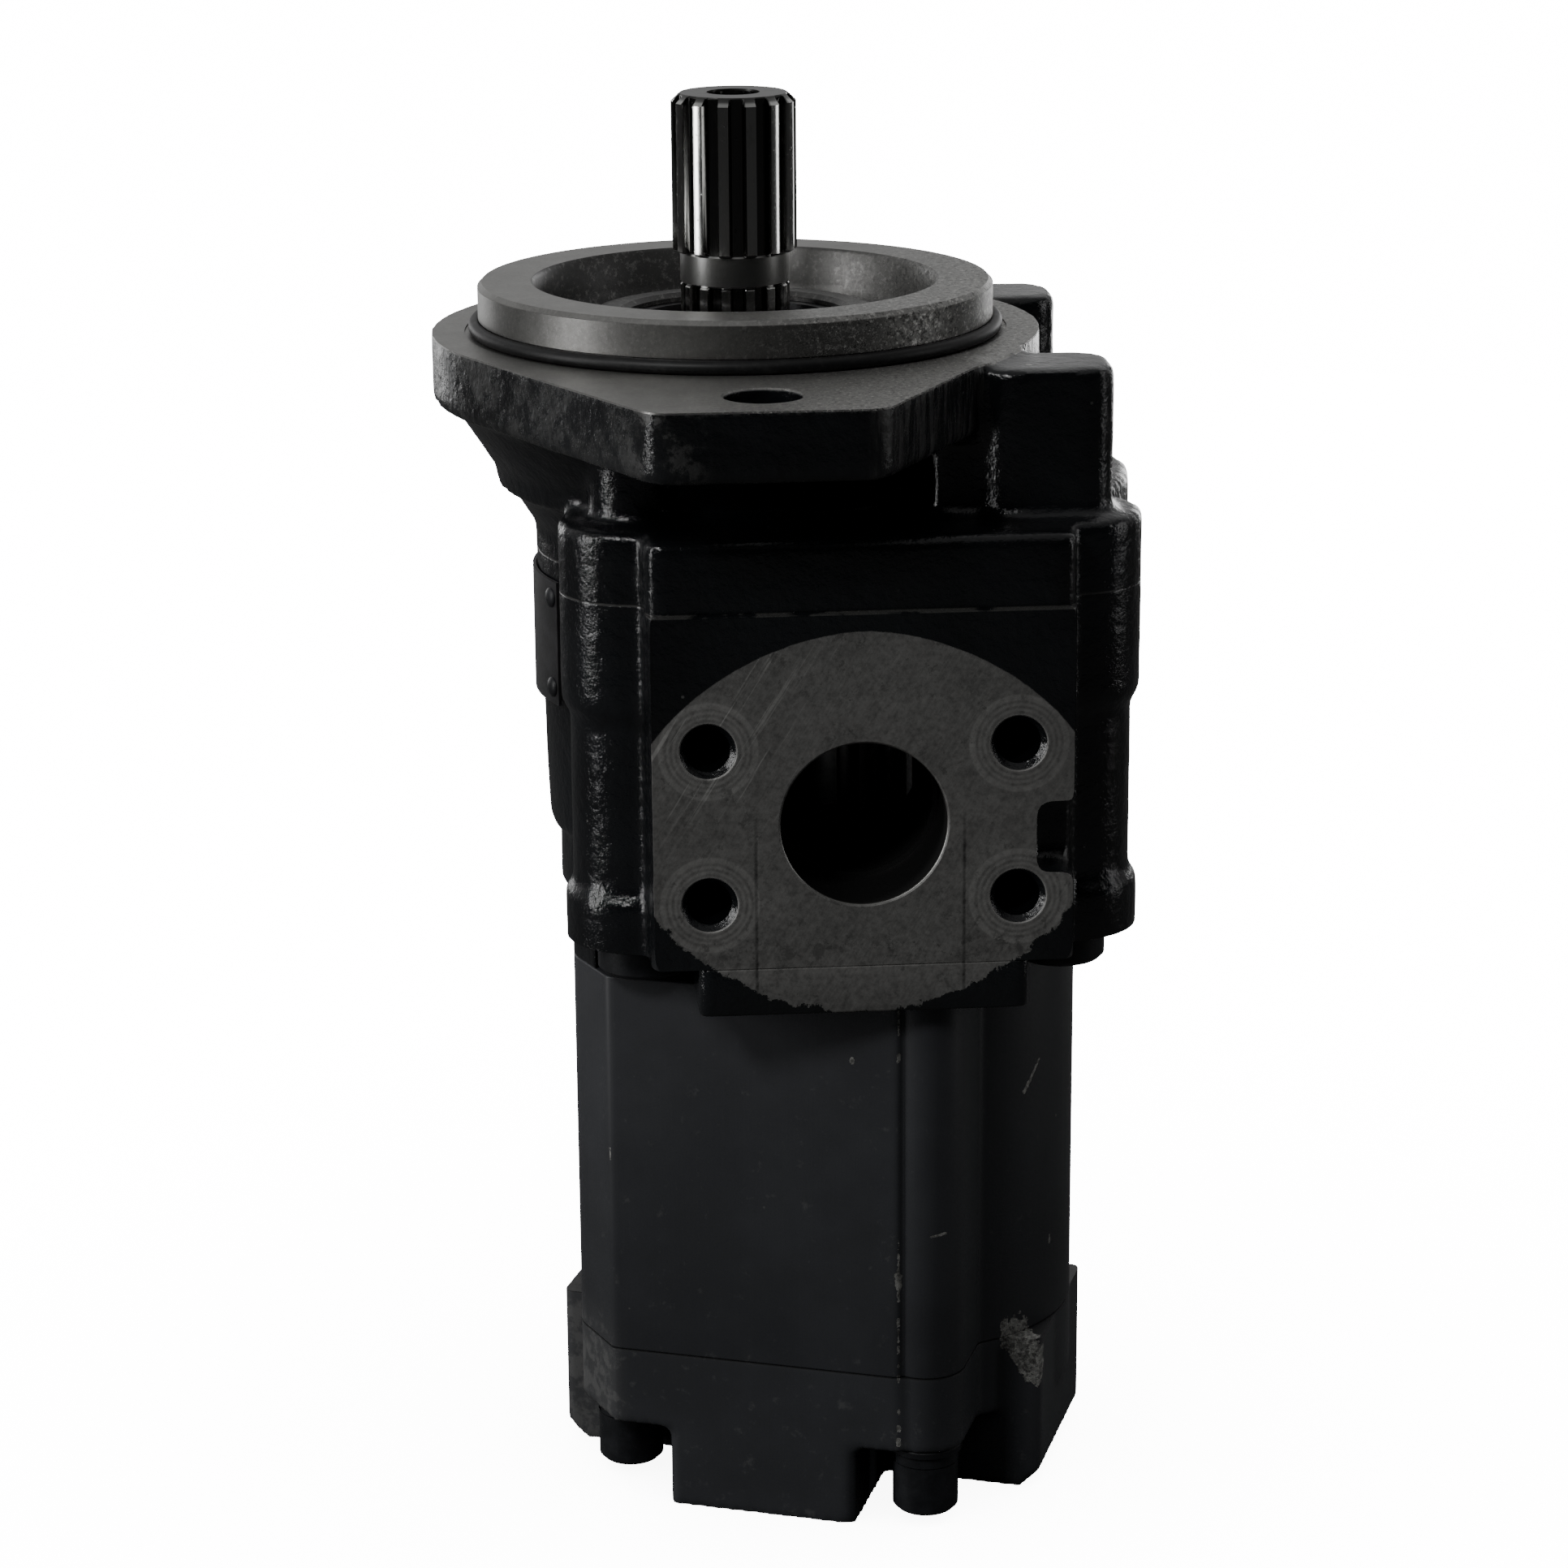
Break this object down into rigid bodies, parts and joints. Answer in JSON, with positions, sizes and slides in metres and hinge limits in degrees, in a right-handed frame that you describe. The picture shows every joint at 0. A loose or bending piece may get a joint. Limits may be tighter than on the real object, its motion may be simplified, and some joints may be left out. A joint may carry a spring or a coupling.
{
  "type": "tandem external gear pump",
  "caption": "Tandem external gear pump with a piloted mounting flange, splined stub shaft, flanged inlet port, cast front pump and extruded rear pump.",
  "frame": {"origin": "on the drive shaft's axis, in the mounting face of the flange", "axes": "+Z out along the drive shaft, -Y out of the inlet port, +X towards the front idler gear"},
  "size_m": [0.1384, 0.176, 0.2798],
  "materials": {
    "painted_casting": "gloss black paint over cast iron, bare where machined",
    "painted_extrusion": "satin black paint over extruded aluminium",
    "ground_steel": "hardened and ground",
    "gear_steel": "hardened and ground",
    "spring_steel": "dark spring steel",
    "bearing_aluminium": "machined",
    "bush_bronze": "sintered, smooth",
    "seal_rubber": "moulded",
    "painted_fastener": "black paint over steel",
    "painted_plate": "black paint over thin sheet"
  },
  "bodies": {
    "housing": {"shaft_end_cover": "painted_casting", "gear_housing": "painted_casting", "adapter_plate": "painted_casting", "rear_body": "painted_extrusion", "rear_cover": "painted_extrusion", "seal_retaining_ring": "spring_steel", "cover_dowels": "ground_steel", "adapter_dowels": "ground_steel", "rear_dowels": "ground_steel", "front_upper_bearing_block": "bearing_aluminium", "front_lower_bearing_block": "bearing_aluminium", "rear_upper_bearing_block": "bearing_aluminium", "rear_lower_bearing_block": "bearing_aluminium", "front_upper_bushes": "bush_bronze", "front_lower_bushes": "bush_bronze", "rear_upper_bushes": "bush_bronze", "rear_lower_bushes": "bush_bronze", "shaft_seal": "seal_rubber", "pilot_cord_ring": "seal_rubber", "cover_joint_seal": "seal_rubber", "front_upper_block_seal": "seal_rubber", "front_lower_block_seal": "seal_rubber", "adapter_front_seal": "seal_rubber", "adapter_rear_seal": "seal_rubber", "suction_duct_seals": "seal_rubber", "rear_upper_block_seal": "seal_rubber", "rear_lower_block_seal": "seal_rubber", "rear_cover_seal": "seal_rubber", "front_bolts": "painted_fastener", "front_washers": "painted_fastener", "adapter_screws": "painted_fastener", "rear_bolts": "painted_fastener", "rear_plain_washers": "painted_fastener", "rear_spring_washers": "painted_fastener", "nameplate": "painted_plate", "nameplate_rivets": "painted_fastener"},
    "drive_train": {"drive_shaft": "ground_steel", "front_drive_gear": "gear_steel", "coupling_quill": "ground_steel", "rear_drive_gear": "gear_steel"},
    "front_idler": {"front_idler_gear": "gear_steel"},
    "rear_idler": {"rear_idler_gear": "gear_steel"}
  },
  "joints": [
    {"name": "shaft_spin", "type": "hinge", "parent": "housing", "child": "drive_train", "pos_m": [0, 0, -0.081], "axis": [0, 0, 1], "continuous": true},
    {"name": "front_idler_spin", "type": "hinge", "parent": "housing", "child": "front_idler", "pos_m": [0.038, 0, -0.081], "axis": [0, 0, 1], "continuous": true},
    {"name": "rear_idler_spin", "type": "hinge", "parent": "housing", "child": "rear_idler", "pos_m": [0.03289, -0.01197, -0.161], "axis": [0, 0, 1], "continuous": true}
  ],
  "couplings": [
    {"joint": "front_idler_spin", "follows": "shaft_spin", "ratio": -1},
    {"joint": "rear_idler_spin", "follows": "shaft_spin", "ratio": -1}
  ]
}
